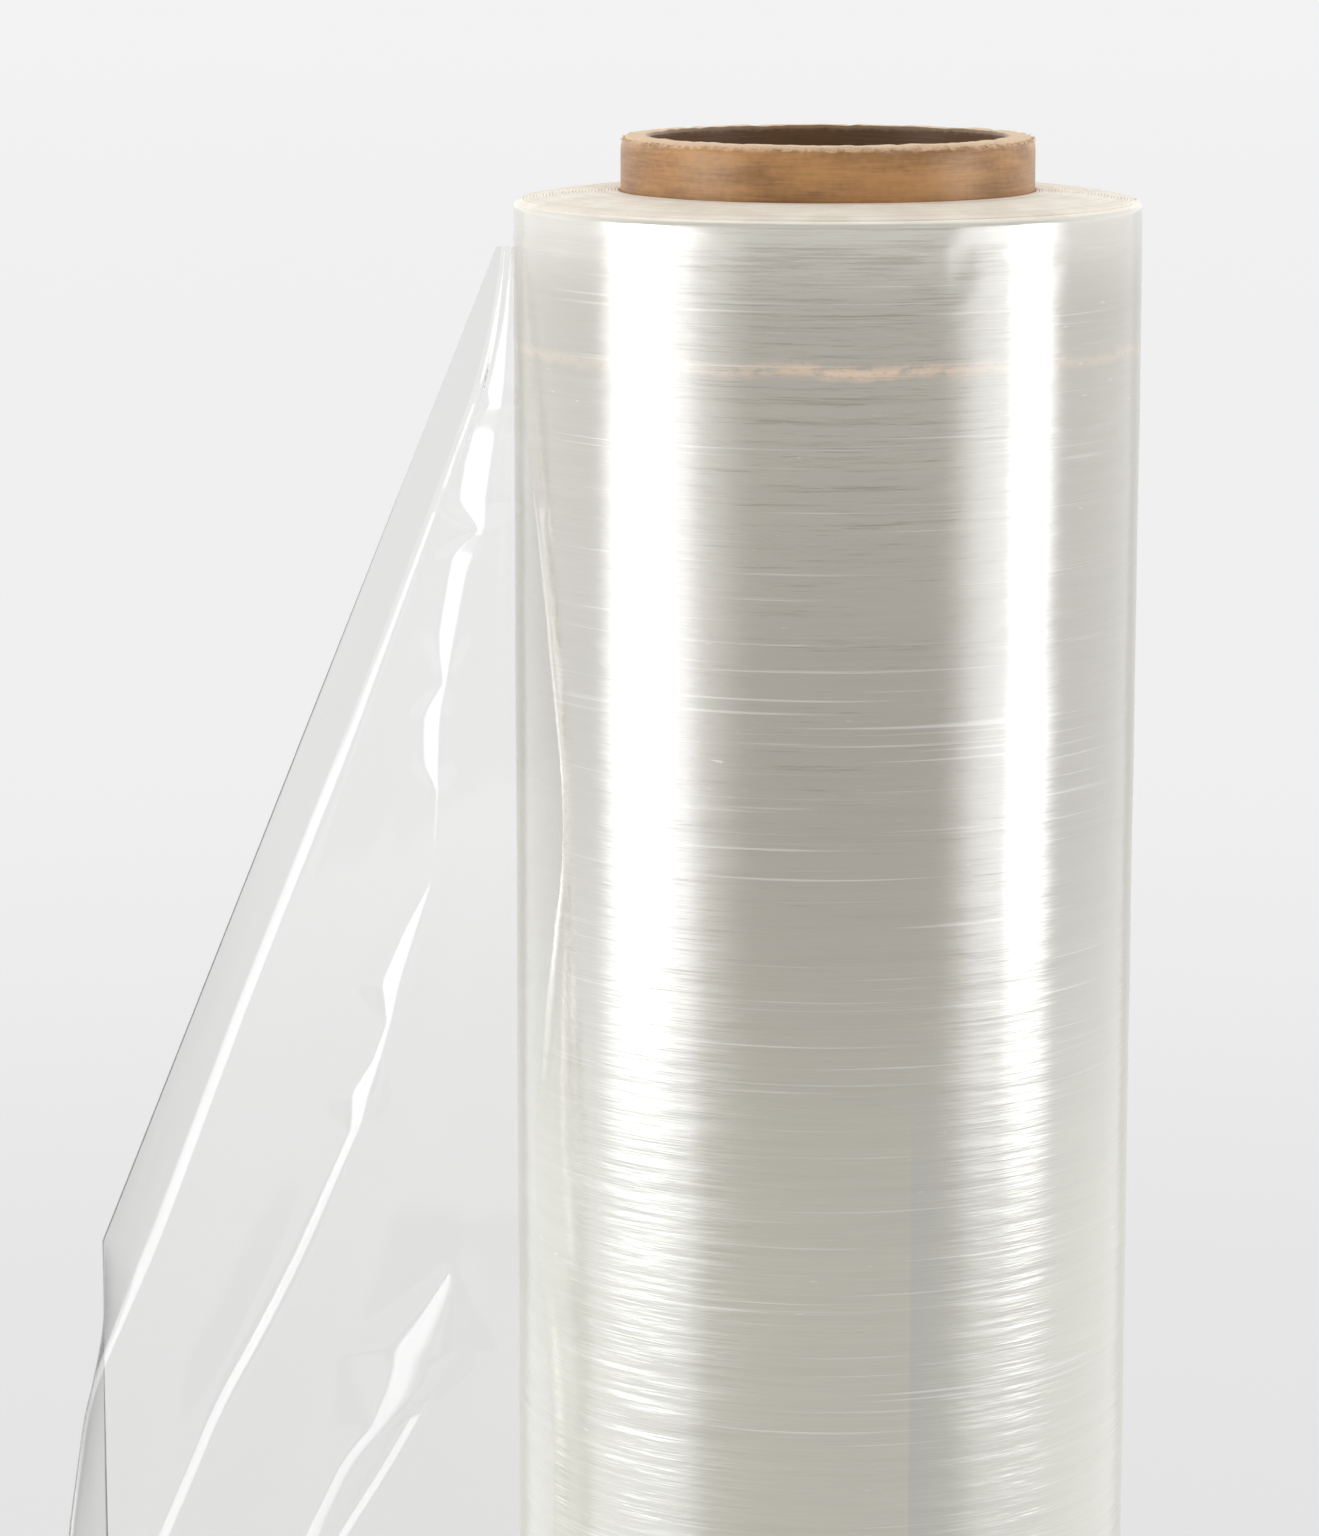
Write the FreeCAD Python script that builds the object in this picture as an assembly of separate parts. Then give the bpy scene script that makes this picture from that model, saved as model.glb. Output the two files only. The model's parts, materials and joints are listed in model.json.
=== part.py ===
import FreeCAD, Part
import math
import os

# A roll of stretch wrap standing on its end: clear film wound on a paper tube, with the
# film's loose tail hanging from the roll in folds. The tube's axis is Z, its lower end is
# at the origin, and the tail hangs on the -X side. All sizes are in millimetres.

# Paper tube
core_bore = 76.2
core_wall = 6.0
core_stand_out = 12.0
core_bevel = 1.2

# Wound film
film_width = 500.0
film_build = 22.8
wrap_clearance = 0.1
film_crown = 1.9
film_rim_round = 1.5
film_rim_steps = 3
turn_groups = 6
turn_groove = 0.4

# Loose tail of the film
tail_thickness = 0.8
tail_root_depth = 1.6
tail_top_drop = 11.0
tail_top_reach = 3.2
tail_corner_drop = 230.0
tail_reach = 91.5
tail_hem_lift = 2.0
tail_forward = 12.0
tail_lean = 10.0
tail_flap_depth = 17.0
tail_fold_depth = 9.0
tail_fold_steps = 3
tail_torn_levels = 9
tail_free_levels = 7

# Sizes that follow from the ones above
core_inner_radius = core_bore / 2
core_outer_radius = core_inner_radius + core_wall
core_length = film_width + 2 * core_stand_out
film_inner_radius = core_outer_radius + wrap_clearance
film_outer_radius = film_inner_radius + film_build
film_bottom = core_stand_out
film_top = film_bottom + film_width
tail_hem_drop = film_width - tail_hem_lift

# Lines down the tail, straight between points of (share of the film's width below its top
# edge, value). The peel angle is in degrees round the roll, from -X towards -Y. The crease's
# reach is a share of tail_reach. The folds lie at shares of the way from roll to crease.
peel_angle = [(0.0, 2.0), (0.14, 26.0), (0.26, 37.0), (0.41, 20.0), (0.524, 30.0), (1.0, 26.0)]
crease_reach = [(0.0, 0.01), (0.044, 0.033), (0.078, 0.072), (0.23, 0.383), (0.344, 0.634),
                (0.452, 0.858), (0.52, 1.022), (0.586, 1.075), (0.68, 1.10)]
outer_fold = [(0.0, 0.55), (0.214, 0.61), (0.288, 0.50), (0.394, 0.52), (0.586, 0.80), (0.68, 0.85)]
inner_fold = [(0.0, 0.25), (0.214, 0.24), (0.482, 0.27), (0.586, 0.46), (0.68, 0.55), (0.80, 0.61)]

# How far the folds stand forward, as shares of the fold depth at that level
valley_at_roll = -0.7
crest_inner = 0.5
valley_middle = -0.8
crest_outer = 0.7
valley_at_crease = -0.45


def along(line, drop):
    """Value of a line at a drop below the film's top edge, held level past its ends."""
    down = drop / film_width
    before = line[0]
    for after in line[1:]:
        if down <= after[0]:
            share = (down - before[0]) / (after[0] - before[0])
            return before[1] + share * (after[1] - before[1])
        before = after
    return before[1]


def rim_edges(shape, radius):
    """The round edges of a shape that have the given radius."""
    rounds = [edge for edge in shape.Edges if isinstance(edge.Curve, Part.Circle)]
    return [edge for edge in rounds if math.isclose(edge.Curve.Radius, radius)]


def make_core():
    """The paper tube, with its two outer cut edges worn back."""
    tube = Part.makeCylinder(core_outer_radius, core_length)
    tube = tube.cut(Part.makeCylinder(core_inner_radius, core_length))
    return tube.makeChamfer(core_bevel, rim_edges(tube, core_outer_radius))


def end_face_points():
    """Radius and fall of points across an end of the wound film, from the tube to the side.

    The turns show as rings, the end falls away towards its rim, and the rim is soft.
    """
    rim_radius = film_outer_radius - film_rim_round
    points = []
    for step in range(2 * turn_groups):
        share = step / (2 * turn_groups)
        radius = film_inner_radius + share * (rim_radius - film_inner_radius)
        groove = turn_groove if step % 2 else 0.0
        points.append((radius, film_crown * share**2 + groove))
    for step in range(film_rim_steps + 1):
        angle = math.radians(90 * step / film_rim_steps)
        radius = rim_radius + film_rim_round * math.sin(angle)
        points.append((radius, film_crown + film_rim_round * (1 - math.cos(angle))))
    return points


def make_wound_film():
    """All the wound turns as one solid of revolution."""
    end = end_face_points()
    bottom = [FreeCAD.Vector(radius, 0, film_bottom + fall) for radius, fall in end]
    top = [FreeCAD.Vector(radius, 0, film_top - fall) for radius, fall in reversed(end)]
    face = Part.Face(Part.makePolygon(bottom + top + [bottom[0]]))
    return face.revolve(FreeCAD.Vector(0, 0, 0), FreeCAD.Vector(0, 0, 1), 360)


def edge_reach(drop):
    """How far the tail's outer edge lies from the roll: a slanting tear, then the free side."""
    share = min((drop - tail_top_drop) / (tail_corner_drop - tail_top_drop), 1.0)
    return tail_top_reach + share * (tail_reach - tail_top_reach)


def pleats(start, end, drop, depth):
    """Plan points of the soft folds from the roll to the crease, with rounded turns."""
    inner = along(inner_fold, drop)
    outer = along(outer_fold, drop)
    turns = [
        (0.0, 0.0),
        (inner / 2, valley_at_roll),
        (inner, crest_inner),
        ((inner + outer) / 2, valley_middle),
        (outer, crest_outer),
        ((outer + 1) / 2, valley_at_crease),
        (1.0, 0.0),
    ]
    points = []
    for (share, stand), (next_share, next_stand) in zip(turns, turns[1:]):
        for step in range(tail_fold_steps):
            ease = (1 - math.cos(math.pi * step / tail_fold_steps)) / 2
            place = share + (next_share - share) * step / tail_fold_steps
            forward = depth * (stand + (next_stand - stand) * ease)
            points.append(start + (end - start) * place - FreeCAD.Vector(0, forward, 0))
    return points + [end]


def tail_line(drop):
    """Plan points of the tail at one level: pleats to the crease, then the flap behind it."""
    angle = math.radians(along(peel_angle, drop))
    root_radius = film_outer_radius - tail_root_depth
    root = FreeCAD.Vector(-root_radius * math.cos(angle), -root_radius * math.sin(angle), 0)
    crease_x = -film_outer_radius - tail_reach * along(crease_reach, drop)
    size = (root.x - crease_x) / tail_reach
    crease = FreeCAD.Vector(crease_x, -tail_forward - tail_lean * size, 0)
    flap_depth = tail_flap_depth * min(size, 1.0)
    edge = FreeCAD.Vector(-film_outer_radius - edge_reach(drop), crease.y + flap_depth, 0)
    return pleats(root, crease, drop, tail_fold_depth * size) + [edge]


def sideways(start, end):
    """Unit vector in plan, square to the run from start to end."""
    run = (end - start).normalize()
    return FreeCAD.Vector(run.y, -run.x, 0)


def offset_sideways(points, distance):
    """A plan line moved sideways, keeping its distance from both runs at each corner."""
    moved = []
    last = len(points) - 1
    for index, point in enumerate(points):
        before = sideways(points[max(index - 1, 0)], points[max(index, 1)])
        after = sideways(points[min(index, last - 1)], points[min(index + 1, last)])
        middle = (before + after).normalize()
        moved.append(point + middle * (distance / middle.dot(before)))
    return moved


def tail_section(drop):
    """Closed outline of the tail at one level, as thick as the tail."""
    line = tail_line(drop)
    front = offset_sideways(line, -tail_thickness / 2)
    back = offset_sideways(line, tail_thickness / 2)
    level = FreeCAD.Vector(0, 0, film_top - drop)
    outline = [point + level for point in front + back[::-1]]
    return Part.makePolygon(outline + [outline[0]])


def tail_drops():
    """Levels down the tail: past its torn edge, then down its free side to the hem."""
    torn = (tail_corner_drop - tail_top_drop) / tail_torn_levels
    free = (tail_hem_drop - tail_corner_drop) / tail_free_levels
    drops = [tail_top_drop + torn * step for step in range(tail_torn_levels)]
    return drops + [tail_corner_drop + free * step for step in range(tail_free_levels + 1)]


def make_tail():
    """The loose tail, ruled from level to level."""
    return Part.makeLoft([tail_section(drop) for drop in tail_drops()], True, True)


def make_film():
    """The film is one web, so the wound turns and the loose tail are one solid."""
    return make_wound_film().fuse(make_tail()).removeSplitter()


def save(name, shape):
    """Writes one sub-part and prints what it is."""
    box = shape.BoundBox
    corners = [round(v, 1) for v in (box.XMin, box.YMin, box.ZMin, box.XMax, box.YMax, box.ZMax)]
    print(name, "valid", shape.isValid(), "solids", len(shape.Solids), "corners", corners)
    shape.exportStep("parts/" + name + ".step")


os.makedirs("parts", exist_ok=True)
save("cardboard_core", make_core())
save("stretch_film", make_film())
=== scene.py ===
"""Looks of a stretch wrap roll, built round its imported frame.

All sizes are in metres, in the frame's own axes. The roll stands on the origin with its axis along Z, and the
film's loose tail hangs on the -X side. Angles round the roll are measured from the front, -Y, towards +X.
"""

import json
import logging
import math
from collections.abc import Callable
from dataclasses import dataclass
from enum import Enum

import bpy
import bmesh
import numpy as np
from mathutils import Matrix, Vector


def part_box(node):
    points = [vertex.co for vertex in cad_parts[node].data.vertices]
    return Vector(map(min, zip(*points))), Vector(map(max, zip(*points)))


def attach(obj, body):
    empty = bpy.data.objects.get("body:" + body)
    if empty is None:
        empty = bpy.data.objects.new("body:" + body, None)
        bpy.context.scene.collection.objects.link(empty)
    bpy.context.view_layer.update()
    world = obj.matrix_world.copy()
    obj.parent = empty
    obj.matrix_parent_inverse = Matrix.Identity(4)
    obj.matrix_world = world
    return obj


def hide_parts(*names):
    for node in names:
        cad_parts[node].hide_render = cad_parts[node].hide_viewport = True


MM = 0.001
BODY = "root"
CORE_NODE = "cardboard_core"
FILM_NODE = "stretch_film"
WRAP_CLEARANCE = 0.1 * MM
ROLL_PIECES = (
    "wound_film", "turn_edges_top", "turn_edges_bottom", "core_tube", "core_ply_seam", "core_rim_fibres")

# A span is where a change starts and where it is complete, a band is its middle and its reach either side,
# and a line is (place, value) points
Colour = tuple[float, float, float, float]
Span = tuple[float, float]
Band = tuple[float, float]
Line = tuple[tuple[float, float], ...]

log = logging.getLogger("wrap_roll")
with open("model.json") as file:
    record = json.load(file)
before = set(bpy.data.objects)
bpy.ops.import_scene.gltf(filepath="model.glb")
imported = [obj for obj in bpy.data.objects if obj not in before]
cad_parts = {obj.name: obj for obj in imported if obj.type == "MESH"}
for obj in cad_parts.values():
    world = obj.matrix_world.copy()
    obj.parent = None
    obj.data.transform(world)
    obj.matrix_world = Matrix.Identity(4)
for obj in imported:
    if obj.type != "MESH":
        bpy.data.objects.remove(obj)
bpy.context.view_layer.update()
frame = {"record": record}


class Operation(Enum):
    """The sums that a wire's operators stand for."""

    ADD = "ADD"
    SUBTRACT = "SUBTRACT"
    MULTIPLY = "MULTIPLY"
    DIVIDE = "DIVIDE"
    POWER = "POWER"
    ABSOLUTE = "ABSOLUTE"


class End(Enum):
    """The two ends of the roll, as the way that each one faces along Z."""

    TOP = 1
    BOTTOM = -1


def stood(name: str, data: bpy.types.ID) -> bpy.types.Object:
    """Stands a new object in the scene, with the given mesh, light or camera."""
    made = bpy.data.objects.new(name, data)
    bpy.context.scene.collection.objects.link(made)
    return made


@dataclass(frozen=True)
class Wire:
    """An output socket in a node tree, whose arithmetic adds Math nodes to that tree."""

    graph: "Graph"
    socket: bpy.types.NodeSocket

    def __add__(self, other: "Wire | float") -> "Wire":
        """This value plus another."""
        return self.graph.maths(Operation.ADD, self, other)

    def __sub__(self, other: "Wire | float") -> "Wire":
        """This value less another."""
        return self.graph.maths(Operation.SUBTRACT, self, other)

    def __rsub__(self, other: float) -> "Wire":
        """A number less this value."""
        return self.graph.maths(Operation.SUBTRACT, other, self)

    def __mul__(self, other: "Wire | float") -> "Wire":
        """This value times another."""
        return self.graph.maths(Operation.MULTIPLY, self, other)

    def __truediv__(self, other: "Wire | float") -> "Wire":
        """This value divided by another."""
        return self.graph.maths(Operation.DIVIDE, self, other)

    def __pow__(self, other: float) -> "Wire":
        """This value raised to a power."""
        return self.graph.maths(Operation.POWER, self, other)

    def __abs__(self) -> "Wire":
        """This value without its sign."""
        return self.graph.maths(Operation.ABSOLUTE, self, 0.0)

    __radd__ = __add__
    __rmul__ = __mul__


class Graph:
    """A node tree being written, for a finish or for geometry.

    Attributes:
        tree: The tree.
        place: Where each point is, in a tree that reads it.
    """

    place: Wire

    def __init__(self, tree: bpy.types.NodeTree) -> None:
        """Starts with the tree emptied."""
        self.tree = tree
        tree.nodes.clear()

    def node(self, kind: str, settings: dict | None = None, sockets: dict | None = None,
             output: int | str = 0) -> Wire:
        """Adds one node of any kind.

        Args:
            kind: The node type's identifier.
            settings: Attributes to set first, such as a Math node's operation.
            sockets: Values or wires for its inputs, by name or number.
            output: The output to give back, by name or number.

        Returns:
            The wire from that output.
        """
        made = self.tree.nodes.new(kind)
        for name, value in (settings or {}).items():
            setattr(made, name, value)
        for name, value in (sockets or {}).items():
            if isinstance(value, Wire):
                self.tree.links.new(value.socket, made.inputs[name])
            else:
                made.inputs[name].default_value = value
        return Wire(self, made.outputs[output])

    def maths(self, operation: Operation, left: Wire | float, right: Wire | float) -> Wire:
        """Adds a Math node for one sum of two values."""
        return self.node("ShaderNodeMath", {"operation": operation.value}, {0: left, 1: right})

    def vectors(self, operation: str, left: Wire, right: Wire | tuple | None = None,
                output: int | str = 0) -> Wire:
        """Adds a Vector Math node.

        Args:
            operation: The node's operation, such as MULTIPLY or LENGTH.
            left: The first vector.
            right: The second vector, where the operation takes one.
            output: The output to give back.

        Returns:
            The wire from that output.
        """
        sockets = {0: left} if right is None else {0: left, 1: right}
        return self.node("ShaderNodeVectorMath", {"operation": operation}, sockets, output)

    def across_axis(self, place: Wire) -> Wire:
        """The part of a place that lies across the roll's axis."""
        return self.vectors("MULTIPLY", place, (1, 1, 0))

    def length(self, vector: Wire) -> Wire:
        """Length of a vector."""
        return self.vectors("LENGTH", vector, output="Value")

    def scaled(self, vector: Wire, factor: Wire | float) -> Wire:
        """A vector times one factor."""
        return self.node("ShaderNodeVectorMath", {"operation": "SCALE"}, {0: vector, "Scale": factor})

    def split(self, vector: Wire) -> tuple[Wire, Wire, Wire]:
        """The three parts of a vector."""
        first = self.node("ShaderNodeSeparateXYZ", sockets={0: vector})
        return tuple(Wire(self, socket) for socket in first.socket.node.outputs)

    def fade(self, value: Wire, start: float, end: float) -> Wire:
        """A smooth rise from 0 where the value is start to 1 where it is end."""
        return self.node("ShaderNodeMapRange", {"interpolation_type": "SMOOTHSTEP"},
                         {"Value": value, "From Min": start, "From Max": end})

    def under(self, height: Wire, top: float, drops: Span) -> Wire:
        """A smooth rise from 0 at the first drop below the top to 1 at the second."""
        return self.fade(height, top - drops[0], top - drops[1])

    def band(self, value: Wire, middle: float, reach: float) -> Wire:
        """A smooth hump, 1 where the value is middle and 0 from reach away."""
        return self.fade(abs(value - middle), reach, 0.0)

    def noise(self, place: Wire, waves: tuple[float, float, float], seed: Wire | float,
              detail: float = 2.0, rough: float = 0.5) -> Wire:
        """Smooth random values round 0.5.

        Args:
            place: Where each point is.
            waves: Wavelength along each axis.
            seed: Which of the endless patterns to take.
            detail: How many finer layers lie on the first.
            rough: How strong each finer layer is beside the last.

        Returns:
            The wire of the values.
        """
        scale = tuple(1.0 / wave for wave in waves)
        return self.node("ShaderNodeTexNoise", {"noise_dimensions": "4D"}, {
            "Vector": self.vectors("MULTIPLY", place, scale), "W": seed, "Scale": 1.0,
            "Detail": detail, "Roughness": rough})

    def grain(self, wide: float, tall: float, seed: Wire | float, detail: float = 2.0,
              rough: float = 0.5) -> Wire:
        """Random values over a piece, by a wavelength across the roll's axis and one along it."""
        return self.noise(self.place, (wide, wide, tall), seed, detail, rough)

    def mixed(self, share: Wire | float, first: Wire | Colour, second: Wire | Colour) -> Wire:
        """A colour that goes from the first to the second as the share goes from 0 to 1."""
        return self.node("ShaderNodeMix", {"data_type": "RGBA"}, {0: share, 6: first, 7: second}, 2)

    def end(self, outlet: str, last: Wire) -> None:
        """Ends the tree: adds its outlet, of the given type, and links the last wire to it."""
        self.tree.links.new(last.socket, self.tree.nodes.new(outlet).inputs[0])


class Surface(Graph):
    """The shader tree of one finish."""

    def __init__(self, name: str) -> None:
        """Makes the material and its places to read."""
        self.material = bpy.data.materials.new(name)
        self.material.use_nodes = True
        super().__init__(self.material.node_tree)
        self.place = self.node("ShaderNodeTexCoord", output="Object")
        self.x, self.y, self.z = self.split(self.place)
        self.radius = self.length(self.across_axis(self.place))

    def bump(self, height: Wire, depth: float, strength: float = 1.0) -> Wire:
        """The normal of a surface whose height varies from 0 to 1 times the depth."""
        return self.node("ShaderNodeBump", sockets={
            "Height": height, "Distance": depth, "Strength": strength})

    def shown(self, shader: Wire) -> bpy.types.Material:
        """Ends the tree with its shader, and gives the material."""
        self.end("ShaderNodeOutputMaterial", shader)
        return self.material

    def coated(self, sockets: dict) -> bpy.types.Material:
        """Ends the tree with one Principled shader, and gives the material."""
        return self.shown(self.node("ShaderNodeBsdfPrincipled", sockets=sockets))


class Recipe(Graph):
    """A Geometry Nodes tree being written, with named inputs."""

    def __init__(self, name: str, sizes: dict[str, float]) -> None:
        """Makes the tree and its inputs.

        Args:
            name: The tree's name.
            sizes: Value of each named input.
        """
        self.sizes = sizes
        super().__init__(bpy.data.node_groups.new(name, "GeometryNodeTree"))
        self.tree.interface.new_socket("Geometry", in_out="OUTPUT", socket_type="NodeSocketGeometry")
        self.tree.interface.new_socket("Base", in_out="INPUT", socket_type="NodeSocketGeometry")
        for label in sizes:
            self.tree.interface.new_socket(label, in_out="INPUT", socket_type="NodeSocketFloat")
        self.inlet = self.tree.nodes.new("NodeGroupInput")
        self.base = Wire(self, self.inlet.outputs["Base"])
        self.place = self.node("GeometryNodeInputPosition")

    def size(self, label: str) -> Wire:
        """The wire of a named input."""
        return Wire(self, self.inlet.outputs[label])

    def lifted(self, geometry: Wire, height: Wire) -> Wire:
        """Geometry moved up by a height."""
        lift = self.node("ShaderNodeCombineXYZ", sockets={2: height})
        return self.node("GeometryNodeSetPosition", sockets={"Geometry": geometry, "Offset": lift})

    def swept(self, curve: Wire, profile: Wire) -> Wire:
        """The solid that a profile makes along a curve, capped at its ends."""
        return self.node("GeometryNodeCurveToMesh", sockets={
            "Curve": curve, "Profile Curve": profile, "Fill Caps": True})

    def spiral(self, start: str, end: str, climb: Wire | float) -> Wire:
        """A spiral curve of the input Turns round the axis, between the inputs that name its radii."""
        return self.node("GeometryNodeCurveSpiral", sockets={
            "Resolution": 96, "Rotations": self.size("Turns"), "Start Radius": self.size(start),
            "End Radius": self.size(end), "Height": climb})

    def made(self, name: str, geometry: Wire, finish: bpy.types.Material,
             base: bpy.types.Mesh | None = None) -> bpy.types.Object:
        """Ends the tree, runs it and keeps its result as a plain mesh.

        Args:
            name: The piece's name.
            geometry: What the tree has made.
            finish: The material that the piece wears.
            base: The mesh that the tree works on, where it needs one.

        Returns:
            The piece, with no modifier left on it.
        """
        real = self.node("GeometryNodeRealizeInstances", sockets={"Geometry": geometry})
        smooth = self.node("GeometryNodeSetShadeSmooth", sockets={"Geometry": real})
        dressed = self.node("GeometryNodeSetMaterial", sockets={"Geometry": smooth})
        dressed.socket.node.inputs["Material"].default_value = finish
        self.end("NodeGroupOutput", dressed)
        piece = stood(name, base or bpy.data.meshes.new(name))
        modifier = piece.modifiers.new("recipe", "NODES")
        modifier.node_group = self.tree
        for item in self.tree.interface.items_tree:
            if item.name in self.sizes:
                modifier[item.identifier] = self.sizes[item.name]
        graph = bpy.context.evaluated_depsgraph_get()
        plain = bpy.data.meshes.new_from_object(piece.evaluated_get(graph))
        piece.modifiers.clear()
        piece.data = plain
        return piece


@dataclass(frozen=True)
class KraftBoard:
    """Brown wound paper board, with a paler cut edge and a bore painted darker, partly as painted shade."""

    board: Colour = (0.52, 0.270, 0.095, 1.0)
    dark_board: Colour = (0.225, 0.105, 0.036, 1.0)
    liner_and_bore_shade: Colour = (0.170, 0.096, 0.048, 1.0)
    cut_edge: Colour = (0.66, 0.47, 0.30, 1.0)
    fibre_length: float = 9 * MM
    fibre_width: float = 0.5 * MM
    speck: float = 1.6 * MM
    speck_height: float = 1.2 * MM
    blotch: float = 22 * MM
    tone_span: Span = (0.5, 1.12)
    bore_edge: Span = (1.0 * MM, 0.3 * MM)
    raggedness: float = 2.2 * MM
    edge_depth: float = 1.5 * MM
    fibre_relief: float = 0.12 * MM

    def made(self, bore_radius: float, length: float) -> bpy.types.Material:
        """Builds the material.

        Args:
            bore_radius: Radius of the tube's bore.
            length: Length of the tube.

        Returns:
            The material.
        """
        paper = Surface("kraft_board")
        fibres = paper.grain(self.fibre_length, self.fibre_width, 1.0, 4.0)
        specks = paper.grain(self.speck, self.speck_height, 2.0, 3.0)
        blotches = paper.grain(self.blotch, self.blotch / 3, 3.0, 3.0)
        tone = paper.fade(blotches + fibres * 0.45 + specks * 0.3, *self.tone_span)
        outside = paper.mixed(tone, self.dark_board, self.board)
        # The bore is painted a darker liner brown: partly the inner ply's own colour, partly painted shade
        # inside the bore.
        inside = paper.fade(paper.radius, bore_radius + self.bore_edge[0], bore_radius + self.bore_edge[1])
        skin = paper.mixed(inside, outside, paper.mixed(tone * 0.5, self.liner_and_bore_shade, self.dark_board))
        ragged = (specks - 0.5) * self.raggedness
        half = length / 2
        to_middle = abs(paper.z - half) + ragged
        near_end = paper.fade(to_middle, half - self.edge_depth, half - self.edge_depth / 3)
        worn = near_end * (1 - inside * 0.75)
        colour = paper.mixed(worn, skin, self.cut_edge)
        normal = paper.bump(fibres * 0.6 + specks * 0.4, self.fibre_relief, 0.7)
        return paper.coated({
            "Base Color": colour, "Roughness": 0.30 + specks * 0.14 + worn * 0.3, "IOR": 1.5,
            "Normal": normal})


@dataclass(frozen=True)
class WoundSide:
    """The glossy side of many turns of clear film, with a faint tan line where one sheet ends.

    Drops are measured down from the film's top edge. Its colour holds painted light, shade and highlights.
    """

    film: Colour = (0.275, 0.250, 0.178, 1.0)
    deep_film: Colour = (0.230, 0.206, 0.146, 1.0)
    mid_height_shade: Colour = (0.158, 0.126, 0.074, 1.0)
    shadow_film: Colour = (0.25, 0.255, 0.240, 1.0)
    bounce_lit_film: Colour = (0.395, 0.38, 0.295, 1.0)
    cream: Colour = (0.52, 0.49, 0.42, 1.0)
    tan: Colour = (0.72, 0.46, 0.27, 1.0)
    scuff_and_glint: Colour = (0.80, 0.79, 0.75, 1.0)
    streak: float = 70 * MM
    tone_span: Span = (0.22, 0.76)
    bounce_lit_drops: Span = (90 * MM, 300 * MM)
    mid_shade_drop: float = 115 * MM
    mid_shade_reach: float = 95 * MM
    low_drops: Span = (185 * MM, 260 * MM)
    shadow_drops: Span = (165 * MM, 205 * MM)
    shadow_left: Span = (16.0 * MM, 16.8 * MM)
    shadow_right: Span = (34.0 * MM, 17.0 * MM)
    cream_drops: Span = (26 * MM, 1.0 * MM)
    tan_drop: float = 32.0 * MM
    tan_half: float = 2.2 * MM
    tan_reach: float = 34.0 * MM
    tan_wander: float = 3.6 * MM
    ridge_relief: float = 0.19 * MM
    crinkle_relief: float = 0.20 * MM
    ior: float = 3.1
    sheen: float = 0.36

    def tan_line(self, film: Surface, top: float) -> Wire:
        """How strongly the tan line shows: ragged, strongest right of the front and faint elsewhere."""
        wavy = film.grain(9 * MM, 0.5, 8.0, 3.0)
        height = film.z + (wavy - 0.5) * self.tan_wander
        line = film.band(height, top - self.tan_drop, self.tan_half)
        broken = film.fade(film.grain(3 * MM, 1.5 * MM, 9.0, 3.0), 0.27, 0.53)
        strong = film.band(film.x, 0.12 * self.tan_reach, self.tan_reach) * film.fade(film.y, 0.0, -20 * MM)
        return line * broken * (0.20 + 0.55 * strong)

    def made(self, top: float) -> bpy.types.Material:
        """Builds the material.

        Args:
            top: Height of the film's top edge.

        Returns:
            The material.
        """
        film = Surface("wound_film_side")
        streaks = film.grain(self.streak, 2.2 * MM, 5.0, 4.0, 0.65)
        bands = film.grain(0.2, 7 * MM, 6.0)
        patches = film.grain(30 * MM, 45 * MM, 7.0, 3.0)
        tone = film.fade(streaks * 0.6 + bands * 0.2 + patches * 0.2, *self.tone_span)
        colour = film.mixed(tone, self.deep_film, self.film)
        # Painted light: the film is painted paler lower down, where the floor's bounce light falls.
        bounce_lit = film.under(film.z, top, self.bounce_lit_drops)
        colour = film.mixed(bounce_lit * (0.62 + tone * 0.3), colour, self.bounce_lit_film)
        # Painted shade: the film is painted darker in a band round the roll at mid height.
        mid_height_shaded = film.band(film.z, top - self.mid_shade_drop, self.mid_shade_reach)
        colour = film.mixed(mid_height_shaded * 0.5, colour, self.mid_height_shade)
        low = film.under(film.z, top, self.low_drops)
        shadow = film.fade(film.x, *self.shadow_left) * film.fade(film.x, *self.shadow_right)
        shadow = shadow * film.under(film.z, top, self.shadow_drops) * film.fade(film.y, 0.0, -10 * MM)
        colour = film.mixed(shadow * 0.45, colour, self.shadow_film)
        # Painted highlights: thin bright lines across the front stand in for glints off fine wrinkles; the
        # same pale colour also lays the scuffs.
        wrinkle_glints = film.fade(film.grain(90 * MM, 0.9 * MM, 16.0), 0.60, 0.72)
        wrinkle_glints = wrinkle_glints * film.fade(film.y, -28 * MM, -56 * MM)
        colour = film.mixed(wrinkle_glints * 0.3, colour, self.scuff_and_glint)
        near_top = film.under(film.z, top, self.cream_drops) ** 1.5
        colour = film.mixed(near_top * (0.55 + patches * 0.5), colour, self.cream)
        colour = film.mixed(self.tan_line(film, top), colour, self.tan)
        scuffed = film.fade(film.grain(5 * MM, 1.2 * MM, 10.0, 4.0), 0.66, 0.78)
        scuffed = scuffed * film.fade(patches, 0.5, 0.65) * 0.5
        colour = film.mixed(scuffed, colour, self.scuff_and_glint)
        dull = film.grain(40 * MM, 2.5 * MM, 11.0, 3.0)
        ridges = film.grain(45 * MM, 1.5 * MM, 14.0, 3.0, 0.6)
        crinkles = film.grain(14 * MM, 3.2 * MM, 15.0, 3.0)
        relief = (ridges * self.ridge_relief + crinkles * self.crinkle_relief) * (0.58 + low * 0.4)
        return film.coated({
            "Base Color": colour, "Roughness": 0.14 + film.fade(dull, 0.4, 0.75) * 0.05 + low * 0.05,
            "IOR": self.ior, "Sheen Weight": self.sheen, "Sheen Roughness": 0.4,
            "Normal": film.bump(relief, 1.0)})


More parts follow.
